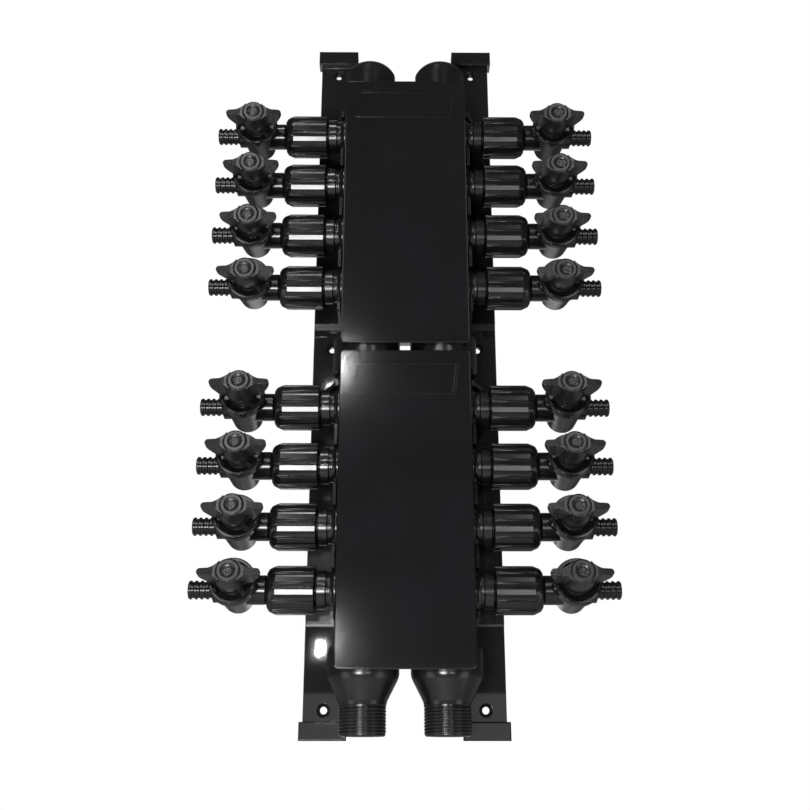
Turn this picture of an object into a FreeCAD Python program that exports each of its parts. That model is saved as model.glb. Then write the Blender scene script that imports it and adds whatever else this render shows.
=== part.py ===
import FreeCAD, Part
import math
import os

# Twin-header water manifold in black moulded plastic: two modules stacked on one pair of wall rails.
# Each module has a left and a right header pipe with four side outlets each. Every outlet carries a
# ribbed swivel nut and a quarter-turn shut-off valve with a butterfly handle and a hose barb.
#
# Millimetres. +Z is up, -Y is the front, +X is the right. The wall is the plane Y = 0, and the origin
# is the centre of the four corner screw holes of the rails.

Vector = FreeCAD.Vector

# ---------------------------------------------------------------- driving dimensions
# modules and outlets
OUTLETS_PER_SIDE = 4
OUTLET_PITCH = 46.0
MODULE_GAP = 6.0             # gap between the two front covers
JOINT_Z = -10.5              # height of the joint between the modules
OUTLET_INSET = 37.0          # top edge of a cover down to the first outlet
COVER_TAIL = 57.0            # last outlet down to the bottom edge of a cover

# header pipes
HEADER_SPACING = 59.5
PIPE_R = 21.1
PIPE_WALL = 3.5
PIPE_STANDOFF = 32.0         # front face of a rail to the pipe axis
PIPE_ABOVE_COVER = 19.5
PIPE_BELOW_COVER = 2.5
DOME_HEIGHT = 12.0
SPIGOT_DEPTH = 12.0
CAP_SKIRT = 2.0              # straight edge of a cap below its dome
CAP_WALL = 3.5
GATE_R = 1.0                 # flat spot at the centre of a dome, where the mould was fed

# sleeve couplings and inlet adapters
SOCKET_WALL = 4.55
COUPLING_LENGTH = 30.0
STOP_RING = 1.0              # ring between two pipe ends
SOCKET_DEPTH = 19.0
CONE_HEIGHT = 17.5
INLET_R = 16.7               # one-inch pipe thread, over the crests
INLET_LENGTH = 22.0
INLET_BORE_R = 12.5
SOCKET_CHAMFER = 1.5
SHOULDER_DROP = 1.0          # shoulder of the cone below the end of the header
THREAD_CHAMFER = 2.0

# outlets: lengths are measured from the header axis
BOSS_R = 15.0
BOSS_END = 26.0
COLLAR_R = 13.8
COLLAR_END = 34.3
NECK_DEPTH = 1.2             # groove between the boss and the collar
THREAD_R = 10.4
THREAD_LENGTH = 15.0
THREAD_LEAD = 1.2            # chamfer where the outlet thread starts
OUTLET_BORE_R = 6.2

# swivel nuts
NUT_R = 17.5
NUT_RIB = 1.4
NUT_RIBS = 12
NUT_RIB_TOP = 4.4            # width of a rib at its top
NUT_RIB_ROOT = 6.0
NUT_GAP = 0.7                # between the collar and the nut
NUT_LENGTH = 34.5
NUT_LEAD = 1.0               # chamfer at the end by the header
NUT_TAPER = 3.5              # first and gentler cone of the outer end
NUT_NOSE = 1.5               # second and steeper cone
NUT_STEP = 2.25              # how far each cone goes in
WASHER = 2.5
WASHER_INSET = 0.3
FLANGE = 3.0

# valves: lengths are measured from the crossing of the flow and stem axes
TAIL_R = 8.4
NECK_R = 10.5
BARREL_FRONT_R = 14.5
BARREL_BACK_R = 11.5
BARREL_BACK = 23.0
BARREL_ROUND = 3.0           # rounding of the closed end
NECK_GAP = 0.6               # between the nut and the neck
CUP_R = 17.0
CUP_WALL = 2.6
CUP_FRONT = 22.5
CUP_DEPTH = 5.0
CUP_BASE = 1.0               # how far the cup's outside starts behind its floor
CUP_FLARE = 2.0
BARB_HUB_R = 9.0
BARB_HUB_END = 15.6
BARB_TIP = 33.75
BARB_CORE_R = 5.7
BARB_CREST_R = 6.7
BARB_CREST = 1.4
BARB_LEAD = 0.84             # slope in front of each ridge
BARB_PITCH = 4.1
BARBS = 4
WATERWAY_R = 4.6
VALVE_FROM_HEADER = 92.75    # header axis to the stem axis
VALVE_LEAN = {"upper": -4.0, "lower": 9.0}    # how far the valves are done up leaning upwards, in degrees

# plug and handle, one moulding
PLUG_R = 9.0
PLUG_BACK = 17.0
STEM_R = 6.4
SNAP_RIDGE = 0.6
SNAP_WIDTH = 1.4
HANDLE_BASE = 25.0
HANDLE_TOP = 46.0
BOSS_TOP_R = 8.6
BOSS_TOP_CHAMFER = 1.2
HANDLE_BOSS_R = 10.6
DIMPLE_R = 5.4
DIMPLE_DEPTH = 1.3
STEM_STEP = 0.4              # shoulder of the plug above the floor of the cup
WING_LENGTH = 22.0
WING_WIDTH = 4.8
WING_BASE = 1.2              # underside of a wing above the underside of the boss
WING_TOP = 44.5
WING_DROOP = 1.6             # how far the top of a wing falls towards its tip
WING_TIP_DEPTH = 5.0         # upright part of a wing's end
WING_END_SLOPE = 6.5         # how far the end comes in below that
WING_SWEEP = 3.6             # outside of the boss to the straight part of a wing
WING_ROOT_ANGLE = 50.0
STOP_ANGLE = 16.0            # width of the stop lug and of the stops, in degrees
STOP_PLAY = 1.5              # free turn between lug and stop, in degrees
STOP_REST = 135.0            # where the lug stands on the open valve, in degrees from +X
STOP_WIDTH = 2.2             # how far a stop stands in from the wall of the cup
STOP_BELOW_RIM = 1.5
LUG_GAP = 0.5                # round the lug, in the cup
TRAVEL = 90.0

# rails
HOLE_SPACING_X = 118.0
HOLE_SPACING_Z = 540.0
MIDDLE_HOLE_Z = 9.0
RAIL_WIDTH = 30.0
RAIL_THICKNESS = 6.0
RAIL_MARGIN = 21.0           # corner hole to the end of the rail
FOOT_WIDTH = 34.5
FOOT_HEIGHT = 13.0
FOOT_STEP = 7.0              # how far a foot stands in front of the rail
SCREW_HOLE_R = 2.6
COUNTERSINK_R = 5.0
POCKET_DEPTH = 2.4           # cored pockets in the back
POCKET_WIDTH = 20.0
POCKET_LENGTH = 40.0
POCKET_SHORTEST = 12.0
POCKET_WEB = 3.0
POCKET_MARGIN = 11.0         # screw centre to the first pocket

# trays behind the pipes
TRAY_FLANGE = 7.0
TRAY_FLOOR = 3.0
TRAY_WALL = 2.5
TRAY_WALL_FRONT = 8.0        # how far the walls reach in front of the pipe axis
TRAY_ABOVE = 20.0
TRAY_BELOW = 21.5
TRAY_INSET = 0.5             # the tray's edges stand this far inside the rails' edges
NOTCH_CLEAR = 0.4
GUSSET = 3.0
GUSSET_REACH = 14.0
GUSSET_DROP = 5.0            # top of a gusset behind the front edge of the wall
TRAY_SCREW_R = 2.0
TRAY_SCREW_HEAD_R = 3.9
TRAY_SCREW_HEAD = 2.4
TRAY_SCREW_BITE = 5.0
TRAY_SCREW_POINT = 1.0
TRAY_SCREW_PILOT = 0.5       # how far the pilot hole goes on past the point
TRAY_SCREW_SUNK = 0.4        # heads lie below the back of the rail

# covers
COVER_WIDTH = 98.5
COVER_WALL = 2.5
COVER_SIDE = 8.0
COVER_CORNER_R = 3.5
COVER_EDGE_R = 0.9
RIB_WALL = 2.5
RIB_REACH = 7.0              # how far a snap rib reaches behind the pipe axis
RIB_ABOVE = 19.5             # top rib above the first outlet
RIB_BELOW = 25.0             # bottom rib below the last outlet
BADGE_WIDTH = 77.0
BADGE_HEIGHT = 25.0
BADGE_DROP = 10.0
BADGE_LINE = 1.8
BADGE_RAISE = 0.7
BADGE_SLANT = 3.0

# clearances
SEAT = 0.25                  # between pieces that rest against each other
SLIP = 0.10                  # between pieces that slide or screw together
RUNNING = 0.08               # round the turning plug

# moulding and cutting
EDGE = 0.8                   # chamfer on small edges
ROOT = 0.5                   # how far an added feature starts inside the piece it grows from
OVERCUT = 1.0                # how far a cutting shape passes the surface that it opens
ROUND = math.sqrt(2) - 1     # pull of a curve towards its corner that makes a quarter circle

# ---------------------------------------------------------------- derived dimensions
PIPE_Y = -(RAIL_THICKNESS + PIPE_STANDOFF)
BORE_R = PIPE_R - PIPE_WALL
SOCKET_R = PIPE_R + SLIP + SOCKET_WALL
COVER_BACK_Y = PIPE_Y - SOCKET_R - SEAT
COVER_FRONT_Y = COVER_BACK_Y - COVER_WALL
COVER_LENGTH = OUTLET_INSET + (OUTLETS_PER_SIDE - 1) * OUTLET_PITCH + COVER_TAIL
COVER_TOP = {"upper": JOINT_Z + MODULE_GAP / 2 + COVER_LENGTH, "lower": JOINT_Z - MODULE_GAP / 2}
COVER_BOTTOM = {name: top - COVER_LENGTH for name, top in COVER_TOP.items()}
HEADER_TOP = {"upper": COVER_TOP["upper"] + PIPE_ABOVE_COVER, "lower": JOINT_Z - STOP_RING / 2 - SLIP}
HEADER_BOTTOM = {"upper": JOINT_Z + STOP_RING / 2 + SLIP, "lower": COVER_BOTTOM["lower"] - PIPE_BELOW_COVER}
SIDES = {"left": -1, "right": 1}
RAIL_X = HOLE_SPACING_X / 2
RAIL_HALF = HOLE_SPACING_Z / 2 + RAIL_MARGIN
NECK_OUTLET_R = COLLAR_R - NECK_DEPTH
NUT_START = COLLAR_END + NUT_GAP
THREAD_END = COLLAR_END + THREAD_LENGTH
FLANGE_START = THREAD_END + WASHER
NUT_END = NUT_START + NUT_LENGTH
NUT_SEAT = FLANGE_START + FLANGE + SLIP
CUP_FLOOR = CUP_FRONT - CUP_DEPTH
CUP_BORE_R = CUP_R - CUP_WALL
SNAP_START = CUP_FLOOR - 2 * SNAP_WIDTH
SNAP_END = CUP_FLOOR - SNAP_WIDTH
SHOULDER_Z = HEADER_BOTTOM["lower"] - SHOULDER_DROP
CONE_END_Z = SHOULDER_Z - CONE_HEIGHT


def outlet_rows(module):
    """Heights of the outlets of one module, from the top one down."""
    first = COVER_TOP[module] - OUTLET_INSET
    return [first - OUTLET_PITCH * row for row in range(OUTLETS_PER_SIDE)]


# ---------------------------------------------------------------- shared operations
def turned(outline):
    """Revolves a closed outline of (distance along Z, radius) points about the Z axis.

    A step may also be ("arc", middle, end), an arc from the last point through middle to end.
    """
    first = outline[0]
    last = Vector(first[1], 0, first[0])
    edges = []
    for step in outline[1:] + [first]:
        if step[0] == "arc":
            middle = Vector(step[1][1], 0, step[1][0])
            end = Vector(step[2][1], 0, step[2][0])
            edges.append(Part.Arc(last, middle, end).toShape())
        else:
            end = Vector(step[1], 0, step[0])
            if end.distanceToPoint(last) < 1e-6:
                continue
            edges.append(Part.LineSegment(last, end).toShape())
        last = end
    face = Part.Face(Part.Wire(edges))
    return face.revolve(Vector(0, 0, 0), Vector(0, 0, 1), 360)


def rounded(start, corner, end):
    """An arc step for turned() that rounds off a corner between two points of the outline."""
    middle = [(a + b) / 2 + (c - (a + b) / 2) * ROUND for a, b, c in zip(start, end, corner)]
    return ("arc", middle, end)


def aim(shape, at, direction):
    """Turns a shape made along +Z to point along a direction, and moves its origin to a point."""
    placed = shape.copy()
    placed.Placement = FreeCAD.Placement(at, FreeCAD.Rotation(Vector(0, 0, 1), direction))
    return placed


def rod(radius, start, end, at, direction):
    """A plain cylinder between two distances along an axis."""
    unit = Vector(direction).normalize()
    return Part.makeCylinder(radius, end - start, at + unit * start, unit)


def block(x0, x1, y0, y1, z0, z1):
    return Part.makeBox(x1 - x0, y1 - y0, z1 - z0, Vector(x0, y0, z0))


def prism(points, height):
    """Extrudes a closed outline of vectors along a vector."""
    return Part.Face(Part.makePolygon(points + [points[0]])).extrude(height)


def fused(shapes):
    return shapes[0].multiFuse(shapes[1:]).removeSplitter()


def export(name, shape):
    shape.exportStep(os.path.join("parts", name + ".step"))


# ---------------------------------------------------------------- header pipes
def header_pipe(module, side):
    """One moulded header: a pipe with a row of bossed and threaded outlets on its outer side."""
    sign = SIDES[side]
    axis = Vector(sign * HEADER_SPACING / 2, PIPE_Y, 0)
    bottom = HEADER_BOTTOM[module]
    top = HEADER_TOP[module]
    up = Vector(0, 0, 1)
    outward = Vector(sign, 0, 0)
    outlet = turned([
        (0, 0),
        (0, BOSS_R),
        (PIPE_R, BOSS_R),
        rounded((PIPE_R, BOSS_R), (PIPE_R, NECK_OUTLET_R), (BOSS_END, NECK_OUTLET_R)),
        (BOSS_END + EDGE, NECK_OUTLET_R),
        (BOSS_END + 2 * EDGE, COLLAR_R),
        (COLLAR_END - EDGE, COLLAR_R),
        (COLLAR_END, COLLAR_R - EDGE),
        (COLLAR_END, THREAD_R),
        (THREAD_END - THREAD_LEAD, THREAD_R),
        (THREAD_END, THREAD_R - THREAD_LEAD),
        (THREAD_END, 0),
    ])
    solids = [rod(PIPE_R, bottom, top, axis, up)]
    bores = [rod(BORE_R, bottom - OVERCUT, top + OVERCUT, axis, up)]
    for z in outlet_rows(module):
        at = Vector(axis.x, axis.y, z)
        solids.append(aim(outlet, at, outward))
        bores.append(rod(OUTLET_BORE_R, 0, THREAD_END + OVERCUT, at, outward))
    return fused(solids).cut(fused(bores))


def end_cap(side):
    """Domed cap with a spigot that is welded into the open top of the header."""
    spigot_r = BORE_R - SLIP
    inside_r = spigot_r - CAP_WALL
    shape = turned([
        (CAP_SKIRT, 0),
        (CAP_SKIRT, inside_r),
        (-SPIGOT_DEPTH, inside_r),
        (-SPIGOT_DEPTH, spigot_r - EDGE),
        (-SPIGOT_DEPTH + EDGE, spigot_r),
        (0, spigot_r),
        (0, PIPE_R),
        (CAP_SKIRT, PIPE_R),
        rounded((CAP_SKIRT, PIPE_R), (DOME_HEIGHT, PIPE_R), (DOME_HEIGHT, GATE_R)),
        (DOME_HEIGHT, 0),
    ])
    at = Vector(SIDES[side] * HEADER_SPACING / 2, PIPE_Y, HEADER_TOP["upper"] + SLIP)
    return aim(shape, at, Vector(0, 0, 1))


def coupling(side):
    """Sleeve that joins the header of the upper module to the one below, with a stop ring inside."""
    half = COUPLING_LENGTH / 2
    bore = PIPE_R + SLIP
    shape = turned([
        (-half, bore),
        (-half, SOCKET_R - SOCKET_CHAMFER),
        (-half + SOCKET_CHAMFER, SOCKET_R),
        (half - SOCKET_CHAMFER, SOCKET_R),
        (half, SOCKET_R - SOCKET_CHAMFER),
        (half, bore),
        (STOP_RING / 2, bore),
        (STOP_RING / 2, BORE_R),
        (-STOP_RING / 2, BORE_R),
        (-STOP_RING / 2, bore),
    ])
    return aim(shape, Vector(SIDES[side] * HEADER_SPACING / 2, PIPE_Y, JOINT_Z), Vector(0, 0, 1))


def inlet_adapter(side):
    """Socket, cone and male pipe thread in one moulding, open right through."""
    bore = PIPE_R + SLIP
    cone_end = -SHOULDER_DROP - CONE_HEIGHT
    end = cone_end - INLET_LENGTH
    shape = turned([
        (SOCKET_DEPTH, bore),
        (SOCKET_DEPTH, SOCKET_R - SOCKET_CHAMFER),
        (SOCKET_DEPTH - SOCKET_CHAMFER, SOCKET_R),
        (-SHOULDER_DROP + EDGE, SOCKET_R),
        (-SHOULDER_DROP, SOCKET_R - EDGE),
        (cone_end + EDGE, INLET_R + EDGE),
        (cone_end, INLET_R),
        (end + THREAD_CHAMFER, INLET_R),
        (end, INLET_R - THREAD_CHAMFER),
        (end, INLET_BORE_R),
        (cone_end, INLET_BORE_R),
        (-SLIP, BORE_R),
        (-SLIP, bore),
    ])
    at = Vector(SIDES[side] * HEADER_SPACING / 2, PIPE_Y, HEADER_BOTTOM["lower"])
    return aim(shape, at, Vector(0, 0, 1))


# ---------------------------------------------------------------- swivel nuts and washers
def nut_blank():
    """Ribbed swivel nut along +Z from the header axis: a ribbed bar turned to shape at both ends."""
    base_r = NUT_R - NUT_RIB
    half_top = NUT_RIB_TOP / 2
    half_root = NUT_RIB_ROOT / 2
    corners = [(-half_root, base_r), (-half_top, NUT_R), (half_top, NUT_R), (half_root, base_r)]
    outline = []
    for rib in range(NUT_RIBS):
        turn = math.radians(360.0 / NUT_RIBS * (rib + 0.5))
        for width, radius in corners:
            reach = math.sqrt(radius * radius - width * width)
            outline.append(Vector(
                reach * math.cos(turn) - width * math.sin(turn),
                reach * math.sin(turn) + width * math.cos(turn),
                NUT_START,
            ))
    bar = prism(outline, Vector(0, 0, NUT_LENGTH))
    form = turned([
        (NUT_START, 0),
        (NUT_START, NUT_R - NUT_LEAD),
        (NUT_START + NUT_LEAD, NUT_R + SLIP),
        (NUT_END - NUT_NOSE - NUT_TAPER, NUT_R + SLIP),
        (NUT_END - NUT_NOSE, NUT_R - NUT_STEP),
        (NUT_END, NUT_R - 2 * NUT_STEP),
        (NUT_END, 0),
    ])
    hole = turned([
        (NUT_START - OVERCUT, 0),
        (NUT_START - OVERCUT, THREAD_R + SLIP),
        (NUT_SEAT, THREAD_R + SLIP),
        (NUT_SEAT, TAIL_R + SLIP * 2),
        (NUT_END + OVERCUT, TAIL_R + SLIP * 2),
        (NUT_END + OVERCUT, 0),
    ])
    return bar.common(form).cut(hole)


def washer_blank():
    """Flat rubber washer pinched between the outlet's end and the valve's tail flange."""
    return turned([
        (THREAD_END + SLIP / 2, OUTLET_BORE_R),
        (THREAD_END + SLIP / 2, THREAD_R - WASHER_INSET),
        (FLANGE_START - SLIP / 2, THREAD_R - WASHER_INSET),
        (FLANGE_START - SLIP / 2, OUTLET_BORE_R),
    ])


# ---------------------------------------------------------------- valves
def stem_sector(inner, outer, start, end, centre, width):
    """A sector of a ring about the stem, between two heights, centred on an angle."""
    ring = Part.makeCylinder(outer, end - start, Vector(0, 0, start))
    ring = ring.cut(Part.makeCylinder(inner, end - start, Vector(0, 0, start)))
    far = outer * 2
    first = math.radians(centre - width / 2)
    last = math.radians(centre + width / 2)
    wedge = prism([
        Vector(0, 0, start),
        Vector(far * math.cos(first), far * math.sin(first), start),
        Vector(far * math.cos(last), far * math.sin(last), start),
    ], Vector(0, 0, end - start))
    return ring.common(wedge)


def valve_blank():
    """Valve body: stem axis along +Z towards the handle, hose barb along +X, tail along -X."""
    back_edge = (-BARREL_BACK, BARREL_BACK_R - BARREL_ROUND)
    cup_base = CUP_FLOOR - CUP_BASE
    barrel = turned([
        (-BARREL_BACK, 0),
        back_edge,
        rounded(back_edge, (-BARREL_BACK, BARREL_BACK_R), (-BARREL_BACK + BARREL_ROUND, BARREL_BACK_R)),
        (cup_base - CUP_FLARE, BARREL_FRONT_R),
        (cup_base, CUP_R),
        (CUP_FRONT - EDGE, CUP_R),
        (CUP_FRONT, CUP_R - EDGE),
        (CUP_FRONT, 0),
    ])
    flange_at = VALVE_FROM_HEADER - FLANGE_START
    neck_end = VALVE_FROM_HEADER - NUT_END - NECK_GAP
    tail = turned([
        (0, 0),
        (0, NECK_R),
        (neck_end - EDGE, NECK_R),
        (neck_end, NECK_R - EDGE),
        (neck_end, TAIL_R),
        (flange_at - FLANGE, TAIL_R),
        (flange_at - FLANGE, THREAD_R - SLIP),
        (flange_at, THREAD_R - SLIP),
        (flange_at, 0),
    ])
    barb_outline = [
        (0, 0),
        (0, BARB_HUB_R),
        (BARB_HUB_END, BARB_HUB_R),
        (BARB_HUB_END + BARB_CREST, BARB_CORE_R),
    ]
    for ridge in reversed(range(BARBS)):
        crest_end = BARB_TIP - BARB_LEAD - ridge * BARB_PITCH
        barb_outline += [
            (crest_end - BARB_CREST, BARB_CORE_R),
            (crest_end - BARB_CREST, BARB_CREST_R),
            (crest_end, BARB_CREST_R),
            (crest_end + BARB_LEAD, BARB_CORE_R),
        ]
    barb_outline.append((BARB_TIP, 0))
    barb = turned(barb_outline)
    centre = Vector(0, 0, 0)
    body = fused([
        barrel,
        aim(tail, centre, Vector(-1, 0, 0)),
        aim(barb, centre, Vector(1, 0, 0)),
    ])
    bore = PLUG_R + RUNNING
    groove = PLUG_R + SNAP_RIDGE + SLIP
    plug_bore = turned([
        (-PLUG_BACK - SLIP, 0),
        (-PLUG_BACK - SLIP, bore),
        (SNAP_START - SLIP, bore),
        (SNAP_START - SLIP, groove),
        (SNAP_END + SLIP, groove),
        (SNAP_END + SLIP, bore),
        (CUP_FLOOR, bore),
        (CUP_FLOOR, CUP_BORE_R),
        (CUP_FRONT + OVERCUT, CUP_BORE_R),
        (CUP_FRONT + OVERCUT, 0),
    ])
    waterway = rod(WATERWAY_R, 0, BARB_TIP + OVERCUT, centre, Vector(1, 0, 0))
    tailway = rod(OUTLET_BORE_R, 0, flange_at + OVERCUT, centre, Vector(-1, 0, 0))
    body = body.cut(fused([plug_bore, waterway, tailway]))
    apart = STOP_ANGLE + STOP_PLAY
    for turn in (-apart, TRAVEL + apart):
        stop = stem_sector(CUP_BORE_R - STOP_WIDTH, CUP_BORE_R + ROOT, CUP_FLOOR - ROOT,
                           CUP_FRONT - STOP_BELOW_RIM, STOP_REST - turn, STOP_ANGLE)
        body = body.fuse(stop)
    return body.removeSplitter()


def wing_outline(sign):
    """Plan of one wing: it sweeps in from the boss to a straight finger with a round end."""
    half = WING_WIDTH / 2
    root_r = HANDLE_BOSS_R - EDGE
    angle = math.radians(WING_ROOT_ANGLE)
    root = (root_r * math.cos(angle), root_r * math.sin(angle))
    waist = (HANDLE_BOSS_R + WING_SWEEP, half)
    bend = rounded(root, (HANDLE_BOSS_R, half), waist)[1]
    shoulder = (WING_LENGTH - half, half)
    upper = [Vector(sign * x, y, 0) for x, y in (root, bend, waist, shoulder)]
    lower = [Vector(v.x, -v.y, 0) for v in upper]
    tip = Vector(sign * WING_LENGTH, 0, 0)
    edges = [
        Part.Arc(lower[0], lower[1], lower[2]).toShape(),
        Part.LineSegment(lower[2], lower[3]).toShape(),
        Part.Arc(lower[3], tip, upper[3]).toShape(),
        Part.LineSegment(upper[3], upper[2]).toShape(),
        Part.Arc(upper[2], upper[1], upper[0]).toShape(),
        Part.LineSegment(upper[0], lower[0]).toShape(),
    ]
    return Part.Face(Part.Wire(edges))


def wing(sign):
    """One wing of the handle: a deep fin whose end slopes in below and whose top falls a little."""
    base = HANDLE_BASE + WING_BASE
    plan = wing_outline(sign)
    plan.translate(Vector(0, 0, base))
    solid = plan.extrude(Vector(0, 0, WING_TOP - base))
    past_tip = WING_LENGTH + OVERCUT
    end_top = WING_TOP - WING_TIP_DEPTH
    profiles = [
        [(WING_LENGTH - WING_END_SLOPE, base), (past_tip, base), (past_tip, end_top), (WING_LENGTH, end_top)],
        [(HANDLE_BOSS_R, WING_TOP + OVERCUT), (HANDLE_BOSS_R, WING_TOP),
         (WING_LENGTH, WING_TOP - WING_DROOP), (past_tip, WING_TOP + OVERCUT)],
    ]
    for profile in profiles:
        outline = [Vector(sign * x, -HANDLE_BOSS_R, z) for x, z in profile]
        solid = solid.cut(prism(outline, Vector(0, 2 * HANDLE_BOSS_R, 0)))
    return solid


def handle_blank():
    """Butterfly handle, stem and drilled plug in one moulding, about +Z."""
    boss_foot = (HANDLE_BASE + 2 * EDGE, HANDLE_BOSS_R)
    boss_top = (HANDLE_TOP - BOSS_TOP_CHAMFER, BOSS_TOP_R)
    dimple_edge = (HANDLE_TOP, DIMPLE_R)
    dimple_floor = HANDLE_TOP - DIMPLE_DEPTH
    core = turned([
        (-PLUG_BACK, 0),
        (-PLUG_BACK, PLUG_R - EDGE),
        (-PLUG_BACK + EDGE, PLUG_R),
        (SNAP_START, PLUG_R),
        ((SNAP_START + SNAP_END) / 2, PLUG_R + SNAP_RIDGE),
        (SNAP_END, PLUG_R + SNAP_RIDGE),
        (SNAP_END, PLUG_R),
        (CUP_FLOOR + STEM_STEP, PLUG_R),
        (CUP_FLOOR + STEM_STEP, STEM_R),
        (HANDLE_BASE, STEM_R),
        (HANDLE_BASE, HANDLE_BOSS_R - EDGE),
        boss_foot,
        rounded(boss_foot, (boss_top[0], HANDLE_BOSS_R), boss_top),
        (HANDLE_TOP, BOSS_TOP_R - BOSS_TOP_CHAMFER),
        dimple_edge,
        rounded(dimple_edge, (dimple_floor, DIMPLE_R), (dimple_floor, GATE_R)),
        (dimple_floor, 0),
    ])
    lug = stem_sector(STEM_R - ROOT, CUP_BORE_R - LUG_GAP, CUP_FLOOR + LUG_GAP,
                      CUP_FRONT - STOP_BELOW_RIM, STOP_REST, STOP_ANGLE)
    handle = fused([core, wing(-1), wing(1), lug])
    return handle.cut(rod(WATERWAY_R, -PLUG_R - OVERCUT, PLUG_R + OVERCUT, Vector(0, 0, 0), Vector(1, 0, 0)))


def on_valve(shape, sign, z, lean_angle):
    """Places a shape made in the valve's own axes at one outlet, leaning like the valve."""
    to_front = FreeCAD.Rotation(Vector(1, 0, 0), 90)
    outward = FreeCAD.Rotation(Vector(0, 1, 0), 0 if sign > 0 else 180)
    lean = FreeCAD.Rotation(Vector(1, 0, 0), -lean_angle)
    at = Vector(sign * (HEADER_SPACING / 2 + VALVE_FROM_HEADER), PIPE_Y, z)
    placed = shape.copy()
    placed.Placement = FreeCAD.Placement(at, lean * outward * to_front)
    return placed


# ---------------------------------------------------------------- rails
def tray_screw_rows(module):
    """Heights of the screws that hold a tray to its rails: between outlets 1-2 and 3-4."""
    rows = outlet_rows(module)
    return [(rows[0] + rows[1]) / 2, (rows[-2] + rows[-1]) / 2]


def rail(side):
    """Wall rail: a flat bar, cored from behind, with a wider raised foot at each end."""
    x = SIDES[side] * RAIL_X
    bar = block(x - RAIL_WIDTH / 2, x + RAIL_WIDTH / 2, -RAIL_THICKNESS, 0, -RAIL_HALF, RAIL_HALF)
    feet = []
    for low in (-RAIL_HALF, RAIL_HALF - FOOT_HEIGHT):
        foot = block(x - FOOT_WIDTH / 2, x + FOOT_WIDTH / 2, -RAIL_THICKNESS - FOOT_STEP, 0, low,
                     low + FOOT_HEIGHT)
        front_edges = [e for e in foot.Edges if e.BoundBox.YMax < -RAIL_THICKNESS - FOOT_STEP + SLIP]
        feet.append(foot.makeChamfer(EDGE, front_edges))
    body = fused([bar] + feet)
    back = Vector(0, 1, 0)
    cuts = []
    hole_rows = [-HOLE_SPACING_Z / 2, MIDDLE_HOLE_Z, HOLE_SPACING_Z / 2]
    sink = COUNTERSINK_R - SCREW_HOLE_R
    for z in hole_rows:
        hole = turned([
            (-OVERCUT, 0),
            (-OVERCUT, COUNTERSINK_R),
            (0, COUNTERSINK_R),
            (sink, SCREW_HOLE_R),
            (RAIL_THICKNESS + OVERCUT, SCREW_HOLE_R),
            (RAIL_THICKNESS + OVERCUT, 0),
        ])
        cuts.append(aim(hole, Vector(x, -RAIL_THICKNESS, z), back))
    screw_rows = tray_screw_rows("upper") + tray_screw_rows("lower")
    for z in screw_rows:
        at = Vector(x, 0, z)
        cuts.append(rod(TRAY_SCREW_R + SLIP, -OVERCUT, RAIL_THICKNESS + OVERCUT, at, Vector(0, -1, 0)))
        seat = TRAY_SCREW_SUNK + TRAY_SCREW_HEAD
        cuts.append(rod(TRAY_SCREW_HEAD_R + SLIP, -OVERCUT, seat, at, Vector(0, -1, 0)))
    stations = sorted(hole_rows + screw_rows)
    for low, high in zip(stations, stations[1:]):
        start = low + POCKET_MARGIN
        length = high - POCKET_MARGIN - start
        if length < POCKET_SHORTEST:
            continue
        count = max(1, round(length / POCKET_LENGTH))
        step = length / count
        for n in range(count):
            cuts.append(block(x - POCKET_WIDTH / 2, x + POCKET_WIDTH / 2, -POCKET_DEPTH, OVERCUT,
                              start + n * step + POCKET_WEB / 2, start + (n + 1) * step - POCKET_WEB / 2))
    for cut in cuts:
        body = body.cut(cut)
    return body


# ---------------------------------------------------------------- trays
def tray(module):
    """Channel that lies on both rails and holds the two headers, notched for the outlets."""
    rows = outlet_rows(module)
    low = rows[-1] - TRAY_BELOW
    high = rows[0] + TRAY_ABOVE
    inner = HEADER_SPACING / 2 + PIPE_R + SEAT
    outer = inner + TRAY_WALL
    rim = RAIL_X + RAIL_WIDTH / 2 - TRAY_INSET
    floor_front = PIPE_Y + PIPE_R + SEAT
    flange_back = -RAIL_THICKNESS
    flange_front = flange_back - TRAY_FLANGE
    back_rim = RAIL_X - RAIL_WIDTH / 2 + TRAY_INSET
    wall_front = PIPE_Y - TRAY_WALL_FRONT
    half = [
        (inner, floor_front), (inner, wall_front), (outer, wall_front), (outer, flange_front),
        (rim, flange_front), (rim, flange_back), (back_rim, flange_back),
        (back_rim, floor_front + TRAY_FLOOR),
    ]
    outline = [Vector(x, y, low) for x, y in half] + [Vector(-x, y, low) for x, y in reversed(half)]
    body = prism(outline, Vector(0, 0, high - low))
    gusset_front = wall_front + GUSSET_DROP
    corner = [
        (outer - ROOT, flange_front + ROOT), (outer + GUSSET_REACH, flange_front + ROOT),
        (outer + GUSSET_REACH, flange_front), (outer, gusset_front), (outer - ROOT, gusset_front),
    ]
    for sign in (-1, 1):
        gusset = prism([Vector(sign * x, y, high - GUSSET) for x, y in corner], Vector(0, 0, GUSSET))
        body = body.fuse(gusset)
    notch_r = BOSS_R + NOTCH_CLEAR
    for z in rows:
        for sign in (-1, 1):
            at = Vector(0, PIPE_Y, z)
            body = body.cut(rod(notch_r, inner - OVERCUT, outer + OVERCUT, at, Vector(sign, 0, 0)))
            x0, x1 = sorted((sign * (inner - OVERCUT), sign * (outer + OVERCUT)))
            body = body.cut(block(x0, x1, wall_front - OVERCUT, PIPE_Y, z - notch_r, z + notch_r))
    for z in tray_screw_rows(module):
        for sign in (-1, 1):
            at = Vector(sign * RAIL_X, flange_back, z)
            pilot = TRAY_SCREW_BITE + TRAY_SCREW_PILOT
            body = body.cut(rod(TRAY_SCREW_R + SLIP, -OVERCUT, pilot, at, Vector(0, -1, 0)))
    return body.removeSplitter()


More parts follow.
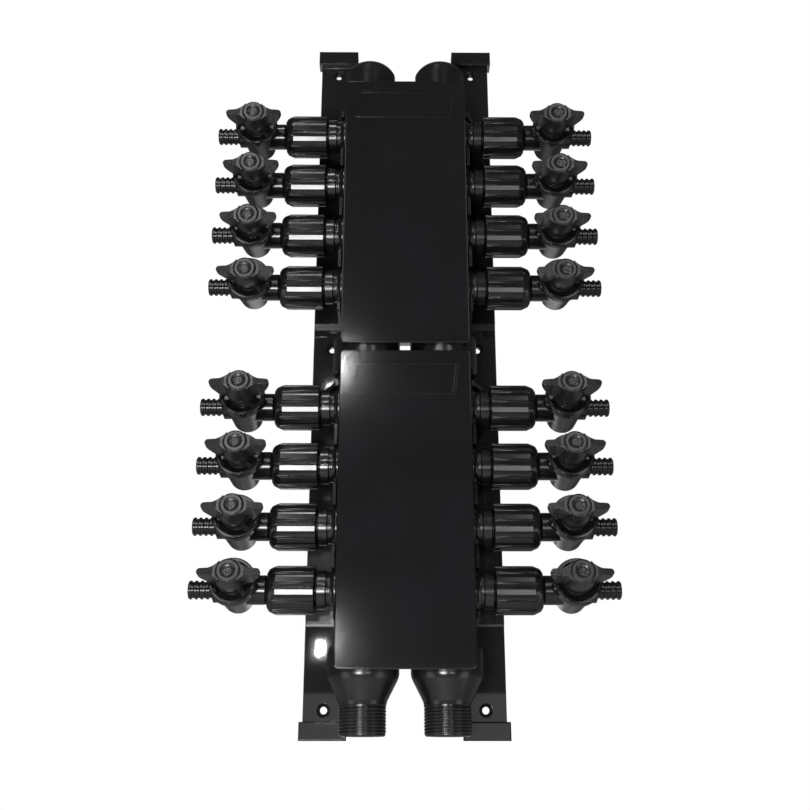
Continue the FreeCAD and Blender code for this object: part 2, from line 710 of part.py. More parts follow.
def tray_screw():
    """Pan-head screw along +Z, its head's outer face at the origin."""
    tip = RAIL_THICKNESS + TRAY_SCREW_BITE - TRAY_SCREW_SUNK
    return turned([
        (0, 0),
        (0, TRAY_SCREW_HEAD_R - EDGE),
        (EDGE, TRAY_SCREW_HEAD_R),
        (TRAY_SCREW_HEAD, TRAY_SCREW_HEAD_R),
        (TRAY_SCREW_HEAD, TRAY_SCREW_R),
        (tip - TRAY_SCREW_POINT, TRAY_SCREW_R),
        (tip, TRAY_SCREW_R - TRAY_SCREW_POINT),
        (tip, 0),
    ])


# ---------------------------------------------------------------- covers
def badge_outline(width, height):
    """A leaning rectangle in the plane of the cover."""
    lean = BADGE_SLANT * height / BADGE_HEIGHT / 2
    return [
        Vector(-width / 2 - lean, 0, -height / 2), Vector(width / 2 - lean, 0, -height / 2),
        Vector(width / 2 + lean, 0, height / 2), Vector(-width / 2 + lean, 0, height / 2),
    ]


def cover(module):
    """Flat snap-on cover: a shallow pan with a plain raised frame, and snap ribs between the pipes."""
    top = COVER_TOP[module]
    bottom = COVER_BOTTOM[module]
    half = COVER_WIDTH / 2
    shell = block(-half, half, COVER_FRONT_Y, COVER_FRONT_Y + COVER_SIDE, bottom, top)
    upright = [e for e in shell.Edges if abs(e.tangentAt(0).y) > 0.99]
    shell = shell.makeFillet(COVER_CORNER_R, upright)
    front = [e for e in shell.Edges if e.BoundBox.YMax < COVER_FRONT_Y + SLIP]
    shell = shell.makeFillet(COVER_EDGE_R, front)
    shell = shell.cut(block(-half + COVER_WALL, half - COVER_WALL, COVER_BACK_Y,
                            COVER_FRONT_Y + COVER_SIDE + OVERCUT, bottom + COVER_WALL, top - COVER_WALL))
    axes = [Vector(sign * HEADER_SPACING / 2, PIPE_Y, 0) for sign in (-1, 1)]
    for at in axes:
        shell = shell.cut(rod(SOCKET_R + SEAT, bottom - OVERCUT, top + OVERCUT, at, Vector(0, 0, 1)))
    rows = outlet_rows(module)
    stations = [rows[0] + RIB_ABOVE]
    stations += [(a + b) / 2 for a, b in zip(rows, rows[1:])]
    stations.append(rows[-1] - RIB_BELOW)
    ribs = []
    for z in stations:
        rib = block(-half + COVER_WALL / 2, half - COVER_WALL / 2, COVER_BACK_Y - ROOT, PIPE_Y + RIB_REACH,
                    z - RIB_WALL / 2, z + RIB_WALL / 2)
        for at in axes:
            rib = rib.cut(rod(PIPE_R + SEAT, z - RIB_WALL, z + RIB_WALL, at, Vector(0, 0, 1)))
        ribs.append(rib)
    inner_width = BADGE_WIDTH - 2 * BADGE_LINE
    inner_height = BADGE_HEIGHT - 2 * BADGE_LINE
    rise = Vector(0, -BADGE_RAISE - ROOT, 0)
    frame = prism(badge_outline(BADGE_WIDTH, BADGE_HEIGHT), rise)
    frame = frame.cut(prism(badge_outline(inner_width, inner_height), rise))
    frame.translate(Vector(0, COVER_FRONT_Y + ROOT, top - BADGE_DROP - BADGE_HEIGHT / 2))
    return fused([shell, frame] + ribs)


# ---------------------------------------------------------------- assembly
def main():
    os.makedirs("parts", exist_ok=True)
    nut = nut_blank()
    washer = washer_blank()
    valve = valve_blank()
    handle = handle_blank()
    washers = []
    tray_screws = []
    for side, sign in SIDES.items():
        export("wall_rail_" + side, rail(side))
        export("end_cap_" + side, end_cap(side))
        export("header_coupling_" + side, coupling(side))
        export("inlet_adapter_" + side, inlet_adapter(side))
        for module in ("upper", "lower"):
            export("header_pipe_%s_%s" % (module, side), header_pipe(module, side))
            outward = Vector(sign, 0, 0)
            nuts = []
            for number, z in enumerate(outlet_rows(module), 1):
                at = Vector(sign * HEADER_SPACING / 2, PIPE_Y, z)
                nuts.append(aim(nut, at, outward))
                washers.append(aim(washer, at, outward))
                label = "%s_%s_%d" % (module, side, number)
                lean = VALVE_LEAN[module]
                export("valve_body_" + label, on_valve(valve, sign, z, lean))
                export("valve_handle_" + label, on_valve(handle, sign, z, lean))
            export("swivel_nuts_%s_%s" % (module, side), Part.makeCompound(nuts))
            for z in tray_screw_rows(module):
                tray_screws.append(aim(tray_screw(), Vector(sign * RAIL_X, -TRAY_SCREW_SUNK, z),
                                       Vector(0, -1, 0)))
    for module in ("upper", "lower"):
        export("header_tray_" + module, tray(module))
        export("front_cover_" + module, cover(module))
    export("outlet_washers", Part.makeCompound(washers))
    export("tray_screws", Part.makeCompound(tray_screws))


main()
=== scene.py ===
import bmesh
import bpy
import math
from mathutils import Matrix, Vector


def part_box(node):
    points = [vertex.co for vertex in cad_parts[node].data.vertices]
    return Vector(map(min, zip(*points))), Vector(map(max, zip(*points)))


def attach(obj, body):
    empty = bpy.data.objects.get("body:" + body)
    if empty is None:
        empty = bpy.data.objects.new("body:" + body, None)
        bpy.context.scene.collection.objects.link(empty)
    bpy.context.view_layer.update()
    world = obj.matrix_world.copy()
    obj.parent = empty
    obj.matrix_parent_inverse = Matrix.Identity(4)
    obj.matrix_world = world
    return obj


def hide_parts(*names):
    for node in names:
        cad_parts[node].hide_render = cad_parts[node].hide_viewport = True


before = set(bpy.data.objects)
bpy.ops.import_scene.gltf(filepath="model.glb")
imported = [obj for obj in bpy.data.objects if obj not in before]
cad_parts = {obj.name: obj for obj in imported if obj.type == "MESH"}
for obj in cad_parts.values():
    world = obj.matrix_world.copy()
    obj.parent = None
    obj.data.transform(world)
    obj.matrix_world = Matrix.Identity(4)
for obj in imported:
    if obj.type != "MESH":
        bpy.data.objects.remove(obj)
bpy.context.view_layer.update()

# ---------------------------------------------------------------- wall rails
# Two long rails moulded in black ABS carry everything. Each is screwed to the wall through
# countersunk holes and has a thick foot at both ends, all of one piece with it.
MM = 0.001
PATCH_EDGE = {"From Min": 0.35, "From Max": 0.65}


def linear(hex_colour):
    """An sRGB hex colour as the linear one that a socket takes."""
    parts = [int(hex_colour[i:i + 2], 16) / 255 for i in (1, 3, 5)]
    return [p / 12.92 if p <= 0.04045 else ((p + 0.055) / 1.055) ** 2.4 for p in parts] + [1.0]


def add(tree, kind, sockets=(), **settings):
    """Adds one shader node, with its settings and with values or links for its sockets."""
    made = tree.nodes.new("ShaderNode" + kind)
    for name, value in settings.items():
        setattr(made, name, value)
    for name, value in dict(sockets).items():
        if isinstance(value, bpy.types.NodeSocket):
            tree.links.new(value, made.inputs[name])
        else:
            made.inputs[name].default_value = value
    return made


def moulded(name, dark, light, roughness, ior, patch_mm, grain_mm, depth_mm, edge_mm):
    """A material with patches of two near colours and two degrees of gloss, over a grain with
    its own size along X, Y and Z, and with edges rounded as a mould leaves them."""
    material = bpy.data.materials.new(name)
    material.use_nodes = True
    tree = material.node_tree
    shader = tree.nodes["Principled BSDF"]
    place = add(tree, "TexCoord").outputs["Object"]
    patches = add(tree, "TexNoise", {"Vector": place, "Scale": 1 / (patch_mm * MM), "Detail": 4.0})
    spread = add(tree, "MapRange", {"Value": patches.outputs["Fac"], **PATCH_EDGE})
    colour = add(tree, "Mix", {0: spread.outputs["Result"], 6: linear(dark), 7: linear(light)},
                 data_type="RGBA")
    dull = add(tree, "MapRange", {"Value": patches.outputs["Fac"], **PATCH_EDGE,
                                  "To Min": roughness[0], "To Max": roughness[1]})
    grain_place = add(tree, "Mapping", {"Vector": place,
                                        "Scale": [1 / (g * MM) for g in grain_mm]})
    grain = add(tree, "TexNoise", {"Vector": grain_place.outputs["Vector"],
                                   "Scale": 1.0, "Detail": 2.0})
    edges = add(tree, "Bevel", {"Radius": edge_mm * MM}, samples=6)
    bump = add(tree, "Bump", {"Height": grain.outputs["Fac"], "Distance": depth_mm * MM,
                              "Strength": 1.0, "Normal": edges.outputs["Normal"]})
    tree.links.new(colour.outputs[2], shader.inputs["Base Color"])
    tree.links.new(dull.outputs["Result"], shader.inputs["Roughness"])
    tree.links.new(bump.outputs["Normal"], shader.inputs["Normal"])
    shader.inputs["IOR"].default_value = ior
    return material


def finish_nodes(material, *names):
    """Puts a material in every slot of CAD nodes whose shape stays as it is."""
    for name in names:
        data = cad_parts[name].data
        if not data.materials:
            data.materials.append(material)
        for i in range(len(data.materials)):
            data.materials[i] = material


SIDES = {"left": -1, "right": 1}
MODULES = ("upper", "lower")
OUTLETS = (0, 1, 2, 3)
# Moulded ABS from a polished mould: nearly mirror-smooth and deep black, so a lamp shows in it as
# a small bright patch. Faint lines run along the rail, where the melt ran, and the gloss varies
# over 30 mm.
rail_abs = moulded("abs_polished_moulded_rail", "#18191a", "#1e1f20", (0.030, 0.040), 1.53,
                   30, (0.5, 0.5, 25), 0.002, 0.5)
finish_nodes(rail_abs, *["wall_rail_" + side for side in SIDES])

# ---------------------------------------------------------------- header trays
# A tray moulded in black ABS, a channel with a notch for each outlet, carries each module's two
# pipes in front of the rails. Two gussets brace its top end, and it is screwed on from behind.
# Moulded ABS with a fine spark finish: satin, with a grain of 0.6 mm that softens reflections.
tray_abs = moulded("abs_satin_moulded_tray", "#121314", "#18191a", (0.20, 0.28), 1.53,
                   24, (0.6, 0.6, 0.6), 0.010, 0.4)
finish_nodes(tray_abs, *["header_tray_" + module for module in MODULES])

# ---------------------------------------------------------------- tray screws
# Eight black zinc-plated steel screws hold the trays to the rails from behind. Each has a low pan
# head with a cross recess, and a coarse thread that cut its own way into the plastic.
SCREW_HEAD_R = 3.9 * MM
SCREW_HEAD = 2.4 * MM
SCREW_CORE_R = 1.5 * MM
SCREW_CREST_R = 2.0 * MM
SCREW_PITCH = 1.4 * MM
SCREW_POINT = 1.6 * MM
RECESS_REACH = 2.1 * MM
RECESS_WIDTH = 0.85 * MM
RECESS_DEPTH = 1.5 * MM
SCREW_CROWN_R = 0.86 * SCREW_HEAD_R
SCREW_CROWN = 0.35 * SCREW_HEAD
SCREW_ROOT_R = 0.9 * SCREW_CORE_R
SCREW_STEPS = 48
SCREW_THREAD_STEPS = 24
OUTLET_PITCH = 46 * MM
NUT_HALF = 17.5 * MM
MERGE = 0.01 * MM


def lathe(profile, steps):
    """A closed outline of (radius, height) points, turned once round the Z axis."""
    bm = bmesh.new()
    points = [bm.verts.new((radius, 0, height)) for radius, height in profile]
    for i, point in enumerate(points):
        bm.edges.new((point, points[(i + 1) % len(points)]))
    bmesh.ops.spin(bm, geom=bm.verts[:] + bm.edges[:], cent=(0, 0, 0), axis=(0, 0, 1),
                   angle=2 * math.pi, steps=steps, use_merge=True)
    bmesh.ops.remove_doubles(bm, verts=bm.verts[:], dist=MERGE)
    bmesh.ops.recalc_face_normals(bm, faces=bm.faces[:])
    return bm


def ridge(bm, outline, pitch, turns, steps_per_turn):
    """Adds a thread: a closed outline of (radius, height) points, wound up round the Z axis."""
    points = [bm.verts.new((radius, 0, height)) for radius, height in outline]
    ring = [bm.edges.new((p, points[(i + 1) % len(points)])) for i, p in enumerate(points)]
    count = round(turns * steps_per_turn)
    wound = bmesh.ops.spin(bm, geom=points + ring, cent=(0, 0, 0), axis=(0, 0, 1),
                           dvec=(0, 0, pitch * turns / count),
                           angle=2 * math.pi * turns, steps=count)
    last = [e for e in wound["geom_last"] if isinstance(e, bmesh.types.BMEdge)]
    ends = [face for open_end in (ring, last)
            for face in bmesh.ops.edgenet_fill(bm, edges=open_end)["faces"]]
    linked = {f for p in points for f in p.link_faces} | set(ends)
    while True:
        grown = linked | {f for face in linked for v in face.verts for f in v.link_faces}
        if len(grown) == len(linked):
            break
        linked = grown
    bmesh.ops.recalc_face_normals(bm, faces=list(linked))
    return {v for face in linked for v in face.verts}


def smooth(bm, sharp_degrees=32):
    """Smooth shading, apart from edges that turn by more than an angle."""
    for face in bm.faces:
        face.smooth = True
    for edge in bm.edges:
        if len(edge.link_faces) == 2:
            edge.smooth = edge.calc_face_angle(0) < math.radians(sharp_degrees)


def piece(name, bm, material, body):
    """Makes a finished mesh an object at the origin, which rides on a body."""
    data = bpy.data.meshes.new(name)
    bm.to_mesh(data)
    bm.free()
    data.materials.append(material)
    made = bpy.data.objects.new(name, data)
    bpy.context.scene.collection.objects.link(made)
    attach(made, body)
    return made


# Cold-formed steel, black zinc-plated: a dark metal sheen, cloudy over 3 mm, from the plating
# bath. It keeps the usual IOR of a metal.
screw_steel = moulded("steel_black_zinc_screw", "#2b2c2e", "#3a3b3d", (0.25, 0.40), 1.5,
                      3, (0.3, 0.3, 0.3), 0.004, 0.15)
screw_steel.node_tree.nodes["Principled BSDF"].inputs["Metallic"].default_value = 1.0
screw_low, screw_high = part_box("tray_screws")
screw_length = screw_high.y - screw_low.y
blank = lathe([(0, 0), (SCREW_CROWN_R, 0), (SCREW_HEAD_R, SCREW_CROWN),
               (SCREW_HEAD_R, SCREW_HEAD), (SCREW_CORE_R, SCREW_HEAD),
               (SCREW_CORE_R, screw_length - SCREW_POINT), (0, screw_length)], SCREW_STEPS)
turns = (screw_length - SCREW_HEAD - SCREW_POINT - SCREW_PITCH) / SCREW_PITCH
foot = SCREW_HEAD + 0.2 * SCREW_PITCH
ridge(blank, [(SCREW_ROOT_R, foot), (SCREW_CREST_R, foot + 0.27 * SCREW_PITCH),
              (SCREW_CREST_R, foot + 0.33 * SCREW_PITCH),
              (SCREW_ROOT_R, foot + 0.6 * SCREW_PITCH)],
      SCREW_PITCH, turns, SCREW_THREAD_STEPS)
recess = bmesh.new()
for turn in (0, math.pi / 2):
    bmesh.ops.create_cube(recess, size=1.0, matrix=Matrix.Rotation(turn, 4, "Z") @ Matrix.Diagonal(
        (2 * RECESS_REACH, RECESS_WIDTH, 2 * RECESS_DEPTH, 1)))
screw_data = [bpy.data.meshes.new(name) for name in ("screw_blank", "screw_recess")]
for data, shape in zip(screw_data, (blank, recess)):
    shape.to_mesh(data)
    shape.free()
screw, cutter = [bpy.data.objects.new(data.name, data) for data in screw_data]
for thing in (screw, cutter):
    bpy.context.scene.collection.objects.link(thing)
cut = screw.modifiers.new("recess", "BOOLEAN")
cut.operation = "DIFFERENCE"
cut.use_self = True
cut.object = cutter
depsgraph = bpy.context.evaluated_depsgraph_get()
recessed = bpy.data.meshes.new_from_object(screw.evaluated_get(depsgraph))
for thing in (screw, cutter):
    bpy.data.objects.remove(thing)
screws = bmesh.new()
for module in MODULES:
    for side, sign in SIDES.items():
        nuts_low, nuts_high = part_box(f"swivel_nuts_{module}_{side}")
        x = screw_high.x - SCREW_HEAD_R
        inset = NUT_HALF + OUTLET_PITCH / 2
        for height in (nuts_high.z - inset, nuts_low.z + inset):
            before = len(screws.verts)
            screws.from_mesh(recessed)
            screws.verts.ensure_lookup_table()
            bmesh.ops.transform(screws, verts=screws.verts[before:], matrix=Matrix.Translation(
                (sign * x, screw_high.y, height)) @ Matrix.Rotation(math.pi / 2, 4, "X"))
smooth(screws)
screw_set = piece("tray_screw_set", screws, screw_steel, "manifold")
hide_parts("tray_screws")

# ---------------------------------------------------------------- header pipes
# Four headers of black ABS pipe, two to a module, carry the coolant up the manifold. Each pipe is
# one piece with its four outlets: a boss, a collar and a short male thread that a nut screws on.
# Extruded ABS: satin gloss, with fine lines from the die along the pipe.
pipe_abs = moulded("abs_satin_extruded_pipe", "#121314", "#18191a", (0.18, 0.24), 1.53,
                   28, (0.5, 0.5, 30), 0.008, 0.4)
finish_nodes(pipe_abs, *[f"header_pipe_{module}_{side}"
                         for module in MODULES for side in SIDES])

# ---------------------------------------------------------------- end caps and couplings
# A domed cap is cemented on the top of each header, and a sleeve joins its lower and upper pipes.
# Both are moulded in the pipe's ABS and look as it does.
finish_nodes(pipe_abs, *[f"{kind}_{side}"
                         for kind in ("end_cap", "header_coupling") for side in SIDES])

# ---------------------------------------------------------------- inlet adapters
# Below each header a moulded ABS adapter is cemented on: a socket, a cone and a one-inch male pipe
# thread, which is drawn shallow. Its shoulders are rounded, and the thread starts with a cone.
THREAD_PITCH = 2.2 * MM
THREAD_DEPTH = 0.5 * MM
THREAD_CREST_R = 16.7 * MM
THREAD_CREST = 0.7 * MM
THREAD_START = 2.0 * MM
THREAD_LIFT = 0.1 * MM
THREAD_LENGTH = 22.0 * MM
SHOULDER = 39.5 * MM
SHOULDER_ROUND = 2.4 * MM
THROAT_ROUND = 2.0 * MM
SOCKET_R = 25.75 * MM
SOCKET_BORE_R = 21.2 * MM
SOCKET_FLOOR = 40.4 * MM
HEADER_BORE_R = 17.6 * MM
INLET_BORE_R = 12.5 * MM
LEAD_IN = 1.5 * MM
MOUTH_ROUND = 0.5 * MM
ROOT_OVERLAP = 0.2 * MM
RING_NEAR = 0.05 * MM
ADAPTER_STEPS = 96
THREAD_STEPS = 72
ROUND_STEPS = 5


def round_rings(bm, rings, steps):
    """Rounds off the ring edges that run round the Z axis at the given radius and height."""
    for radius, height, amount in rings:
        near = [e for e in bm.edges
                if all(abs(v.co.z - height) < RING_NEAR and
                       abs(v.co.xy.length - radius) < RING_NEAR for v in e.verts)]
        bmesh.ops.bevel(bm, geom=near, offset=amount, segments=steps, profile=0.5,
                        affect="EDGES", material=-1)


for side in SIDES:
    low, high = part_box("inlet_adapter_" + side)
    length = high.z - low.z
    root_r = THREAD_CREST_R - THREAD_DEPTH
    adapter = lathe([
        (INLET_BORE_R, 0), (root_r - 0.5 * THREAD_START, 0), (root_r, 0.5 * THREAD_START),
        (root_r, THREAD_LENGTH - THREAD_DEPTH),
        (THREAD_CREST_R, THREAD_LENGTH - 0.3 * THREAD_DEPTH),
        (THREAD_CREST_R, THREAD_LENGTH), (SOCKET_R, SHOULDER), (SOCKET_R, length - LEAD_IN),
        (SOCKET_R - LEAD_IN, length), (SOCKET_BORE_R, length), (SOCKET_BORE_R, SOCKET_FLOOR),
        (HEADER_BORE_R, SOCKET_FLOOR), (INLET_BORE_R, THREAD_LENGTH)], ADAPTER_STEPS)
    round_rings(adapter, [(SOCKET_R, SHOULDER, SHOULDER_ROUND),
                          (THREAD_CREST_R, THREAD_LENGTH, THROAT_ROUND),
                          (INLET_BORE_R, 0, MOUTH_ROUND)], ROUND_STEPS)
    base = root_r - ROOT_OVERLAP
    tip_half = THREAD_CREST / 2
    foot_half = THREAD_PITCH * 0.46
    wound = ridge(adapter, [(base, THREAD_LIFT),
                            (THREAD_CREST_R, THREAD_LIFT + foot_half - tip_half),
                            (THREAD_CREST_R, THREAD_LIFT + foot_half + tip_half),
                            (base, THREAD_LIFT + 2 * foot_half)],
                  THREAD_PITCH, (THREAD_LENGTH - THREAD_DEPTH - THREAD_PITCH) / THREAD_PITCH,
                  THREAD_STEPS)
    for v in wound:
        limit = THREAD_CREST_R - THREAD_START + v.co.z
        if v.co.xy.length > limit:
            v.co.xy *= limit / v.co.xy.length
    middle = (low + high) / 2
    bmesh.ops.translate(adapter, verts=adapter.verts[:], vec=(middle.x, middle.y, low.z))
    smooth(adapter)
    threaded = piece("inlet_adapter_threaded_" + side, adapter, pipe_abs,
                     "manifold")
    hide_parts("inlet_adapter_" + side)

# ---------------------------------------------------------------- swivel nuts
# Sixteen nuts moulded in black acetal draw the valves onto the outlets and are done up by hand, so
# each has stopped at its own angle. Twelve flat-topped ribs run along a nut and die away into its
# taper.
NUT_ROOT_R = 16.1 * MM
NUT_RIB_R = 17.5 * MM
NUT_RIBS = 12
NUT_LEAD = 1.0 * MM
NUT_TAPER = 5.0 * MM
NUT_NOSE = 1.5 * MM
NUT_TAPER_R = 15.25 * MM
NUT_NOSE_R = 13.0 * MM
NUT_THREAD_R = 10.5 * MM
NUT_TAIL_R = 8.6 * MM
NUT_FLANGE = 12.0 * MM
NUT_ROUND = 0.45 * MM
NUT_FLAT_AREA = 8 * MM ** 2
NUT_ROUND_ABOVE = 28
NUT_SHARP_ABOVE = 40
NUT_TURNS = {"upper": (4.2, 1.9, -0.6, -3.2), "lower": (-9.2, -12.2, 14.8, 11.7)}


def swivel_nut(length):
    """One nut along +Z, with the end by the header at the origin."""
    into_taper = (NUT_ROOT_R - NUT_TAPER_R) / (NUT_RIB_R - NUT_TAPER_R)
    rib_end = length - NUT_NOSE - NUT_TAPER * into_taper
    nut = lathe([(NUT_THREAD_R, 0), (NUT_ROOT_R - NUT_LEAD, 0), (NUT_ROOT_R, 0.4 * NUT_LEAD),
                 (NUT_ROOT_R, length - NUT_NOSE - NUT_TAPER), (NUT_ROOT_R, rib_end),
                 (NUT_TAPER_R, length - NUT_NOSE), (NUT_NOSE_R, length), (NUT_TAIL_R, length),
                 (NUT_TAIL_R, length - NUT_FLANGE), (NUT_THREAD_R, length - NUT_FLANGE)],
                NUT_RIBS * 4)
    ribs = []
    for face in nut.faces:
        middle = face.calc_center_median()
        step = (math.atan2(middle.y, middle.x) * NUT_RIBS / math.pi) % 2
        if (middle.xy.length > 0.98 * NUT_ROOT_R and 0.3 * NUT_LEAD < middle.z < rib_end
                and not 0.5 < step < 1.5):
            ribs.append(face)
    raised = bmesh.ops.extrude_face_region(nut, geom=ribs)
    bmesh.ops.delete(nut, geom=ribs, context="FACES_ONLY")
    for v in [g for g in raised["geom"] if isinstance(g, bmesh.types.BMVert)]:
        if v.co.z < rib_end - 0.1 * MM:
            on_crown = round(math.atan2(v.co.y, v.co.x) * 2 * NUT_RIBS / math.pi) % 4 == 0
            flat = math.cos(math.pi / NUT_RIBS / 2) if on_crown else 1
            v.co.xy *= NUT_RIB_R / NUT_ROOT_R * flat
    bmesh.ops.remove_doubles(nut, verts=nut.verts[:], dist=MERGE)
    bmesh.ops.recalc_face_normals(nut, faces=nut.faces[:])
    edges = [e for e in nut.edges if len(e.link_faces) == 2
             and e.calc_face_angle(0) > math.radians(NUT_ROUND_ABOVE)
             and min(v.co.xy.length for v in e.verts) > 0.98 * NUT_TAPER_R]
    bmesh.ops.bevel(nut, geom=edges, offset=NUT_ROUND, segments=3, profile=0.5, affect="EDGES",
                    clamp_overlap=True, material=-1)
    smooth(nut, NUT_SHARP_ABOVE)
    for face in nut.faces:
        if face.calc_area() > NUT_FLAT_AREA:
            for edge in face.edges:
                edge.smooth = False
    return nut


# Injection-moulded acetal: slippery and glossy, a little clouded along the way the melt filled the
# mould, so the flats show bright bands and the edges bright lines.
fitting_acetal = moulded("acetal_gloss_moulded_fitting", "#101111", "#151616", (0.16, 0.20), 1.48,
                         14, (2.5, 2.5, 0.8), 0.012, 0.35)
for module in MODULES:
    for side, sign in SIDES.items():
        low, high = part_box(f"swivel_nuts_{module}_{side}")
        pattern = swivel_nut(high.x - low.x)
        single = bpy.data.meshes.new("nut_pattern")
        pattern.to_mesh(single)
        pattern.free()
        near_header = min(abs(low.x), abs(high.x)) * sign
        nuts = bmesh.new()
        for outlet in OUTLETS:
            before = len(nuts.verts)
            nuts.from_mesh(single)
            nuts.verts.ensure_lookup_table()
            place = Matrix.Translation((near_header, (low.y + high.y) / 2,
                                        high.z - NUT_HALF - outlet * OUTLET_PITCH))
            turn = Matrix.Rotation(math.radians(NUT_TURNS[module][outlet]), 4, "X")
            bmesh.ops.transform(nuts, verts=nuts.verts[before:],
                                matrix=place @ turn @ Matrix.Rotation(sign * math.pi / 2, 4, "Y"))
        ribbed = piece(f"swivel_nuts_ribbed_{module}_{side}", nuts, fitting_acetal, "manifold")
        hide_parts(f"swivel_nuts_{module}_{side}")

# ---------------------------------------------------------------- outlet washers
# A flat washer of black EPDM rubber seals each valve against its outlet, inside the nut.
# Moulded rubber: dead matt and a little grey.
washer_rubber = moulded("epdm_rubber_matt_washer", "#202020", "#262626", (0.7, 0.85), 1.5,
                        4, (0.4, 0.4, 0.4), 0.02, 0.2)
finish_nodes(washer_rubber, "outlet_washers")

# ---------------------------------------------------------------- valve bodies
# Each outlet has a plug valve moulded in black acetal: a barrel with a cup at its front, a stub
# that the nut holds, and a hose barb. It has the nuts' glossy surface.
finish_nodes(fitting_acetal, *[f"valve_body_{module}_{side}_{outlet + 1}"
                               for module in MODULES for side in SIDES for outlet in OUTLETS])

# ---------------------------------------------------------------- valve handles
# A two-winged handle, moulded in black nylon in one piece with its stem and plug, snaps into each
# body and turns a quarter turn by hand.
# Injection-moulded nylon: satin and slightly greyer than the bodies, with an even grain for grip.
handle_nylon = moulded("nylon_satin_moulded_handle", "#1d1e1f", "#252627", (0.24, 0.32), 1.53,
                       9, (1.2, 1.2, 1.2), 0.015, 0.5)
finish_nodes(handle_nylon, *[f"valve_handle_{module}_{side}_{outlet + 1}"
                             for module in MODULES for side in SIDES for outlet in OUTLETS])

# ---------------------------------------------------------------- front covers
# A shallow cover moulded in black ABS snaps over each module's pipes and tray. A plain raised
# frame near its top is where a badge would go.
# Moulded ABS with a fine texture: a soft sheen near a lamp, and plain black elsewhere.
cover_abs = moulded("abs_textured_moulded_cover", "#131414", "#17181a", (0.11, 0.12), 1.53,
                    45, (0.7, 0.7, 0.7), 0.012, 0.6)
finish_nodes(cover_abs, *["front_cover_" + module for module in MODULES])

# ---------------------------------------------------------------- studio
# A pale matt floor lies well below the object, in a white room that the camera sees. Black plastic
# mirrors only the part of it straight behind. Softboxes stand round the camera, above and below.
FLOOR_Z = -0.85
FLOOR_HALF = 3.0
FLOOR_GLOW = 0.6
floor_mesh = bpy.data.meshes.new("studio_floor")
floor_bm = bmesh.new()
bmesh.ops.create_grid(floor_bm, x_segments=1, y_segments=1, size=FLOOR_HALF,
                      matrix=Matrix.Translation((0, 0, FLOOR_Z)))
floor_bm.to_mesh(floor_mesh)
floor_bm.free()
floor = bpy.data.objects.new("studio_floor", floor_mesh)
bpy.context.scene.collection.objects.link(floor)
floor_paint = bpy.data.materials.new("studio_floor_matt_paint")
floor_paint.use_nodes = True
floor_tree = floor_paint.node_tree
floor_shader = floor_tree.nodes["Principled BSDF"]
floor_shader.inputs["Base Color"].default_value = linear("#e6e6e4")
floor_shader.inputs["Roughness"].default_value = 0.9
floor_path = add(floor_tree, "LightPath")
floor_seen = add(floor_tree, "Math", {0: floor_path.outputs["Is Camera Ray"], 1: FLOOR_GLOW},
                 operation="MULTIPLY")
floor_pale = add(floor_tree, "Emission", {"Color": linear("#f4f4f2"), "Strength": 1.0})
floor_white = add(floor_tree, "MixShader", {
    "Fac": floor_seen.outputs[0], 1: floor_shader.outputs["BSDF"],
    2: floor_pale.outputs["Emission"]})
floor_tree.links.new(floor_white.outputs["Shader"],
                     floor_tree.nodes["Material Output"].inputs["Surface"])
floor_mesh.materials.append(floor_paint)

ROOM_GLOW = 0.25
ROOM_DARK = 0.08
BEHIND_FROM = 0.97
BEHIND_TO = 0.995
world = bpy.data.worlds.new("studio_room")
bpy.context.scene.world = world
world.use_nodes = True
room = world.node_tree
sky = room.nodes["Background"]
sky.inputs["Color"].default_value = linear("#ffffff")
path = add(room, "LightPath")
direction = add(room, "SeparateXYZ", {0: add(room, "TexCoord").outputs["Generated"]})
reflected = add(room, "MapRange", {"Value": direction.outputs["Y"], "From Min": BEHIND_FROM,
                                   "From Max": BEHIND_TO, "To Min": ROOM_DARK, "To Max": 1.0})
lit = add(room, "Mix", {0: path.outputs["Is Glossy Ray"], 2: ROOM_GLOW,
                        3: reflected.outputs["Result"]}, data_type="FLOAT")
seen = add(room, "Math", {0: path.outputs["Is Camera Ray"], 1: path.outputs["Is Transmission Ray"]},
           operation="MAXIMUM")
strength = add(room, "Mix", {0: seen.outputs[0], 2: lit.outputs[0], 3: 1.0}, data_type="FLOAT")
room.links.new(strength.outputs[0], sky.inputs["Strength"])


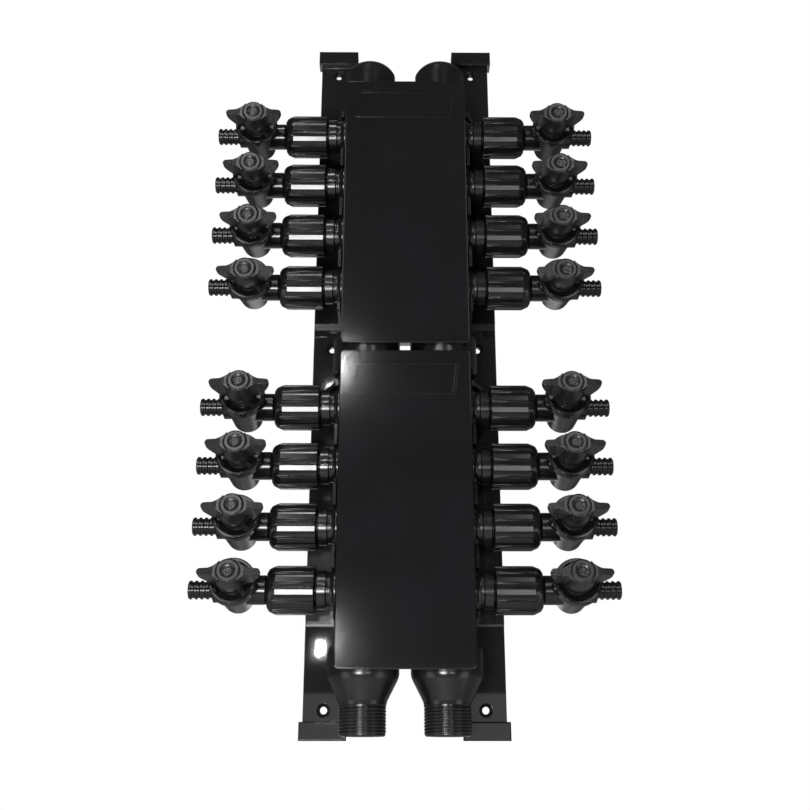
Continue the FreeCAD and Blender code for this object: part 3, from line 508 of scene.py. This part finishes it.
def softbox(name, at, target, width, height, power):
    """A rectangular area lamp that faces a point."""
    lamp = bpy.data.lights.new(name, "AREA")
    lamp.shape = "RECTANGLE"
    lamp.size = width
    lamp.size_y = height
    lamp.energy = power
    holder = bpy.data.objects.new(name, lamp)
    holder.location = at
    holder.rotation_euler = (Vector(target) - Vector(at)).to_track_quat("-Z", "Y").to_euler()
    bpy.context.scene.collection.objects.link(holder)


softbox("flash", (-0.119, -0.85, -0.151), (-0.119, 0, -0.151), 0.004, 0.018, 0.27)
softbox("flash_above", (-0.106, -0.85, 0.248), (-0.106, 0, 0.248), 0.02, 0.02, 0.34)
softbox("key_left", (-0.19, -0.85, -0.403), (-0.19, 0, -0.403), 0.24, 0.18, 4.6)
softbox("key_right", (0.215, -0.85, -0.403), (0.215, 0, -0.403), 0.19, 0.18, 0.5)
softbox("fill_low", (0, -0.85, -0.255), (0, 0, -0.255), 0.50, 0.08, 0.10)
softbox("rear_low", (0, 0.84, -0.32), (0, 0, -0.1), 0.50, 0.15, 0.2)
softbox("overhead", (-0.15, -0.60, 0.95), (-0.05, -0.05, 0), 0.15, 0.15, 1.2)
softbox("panel_left", (-0.29, -0.85, 0.42), (-0.1, -0.05, 0), 0.14, 0.45, 1.3)
softbox("panel_right", (0.30, -0.85, 0.42), (0.1, -0.05, 0), 0.14, 0.45, 0.8)
softbox("low_left", (-0.65, -0.45, -0.50), (-0.05, -0.04, -0.1), 0.35, 0.50, 0.6)
softbox("low_right", (0.65, -0.45, -0.50), (0.05, -0.04, -0.1), 0.35, 0.50, 0.6)

camera_data = bpy.data.cameras.new("camera")
camera_data.lens = 49.13
camera_data.sensor_width = 36.0
camera_data.shift_y = -0.0774
camera = bpy.data.objects.new("camera", camera_data)
camera.location = (-0.006, -0.8503, -0.3015)
camera.rotation_euler = (math.radians(110.56), 0, math.radians(-0.42))
bpy.context.scene.collection.objects.link(camera)
bpy.context.scene.camera = camera
bpy.context.scene.view_settings.view_transform = "Standard"
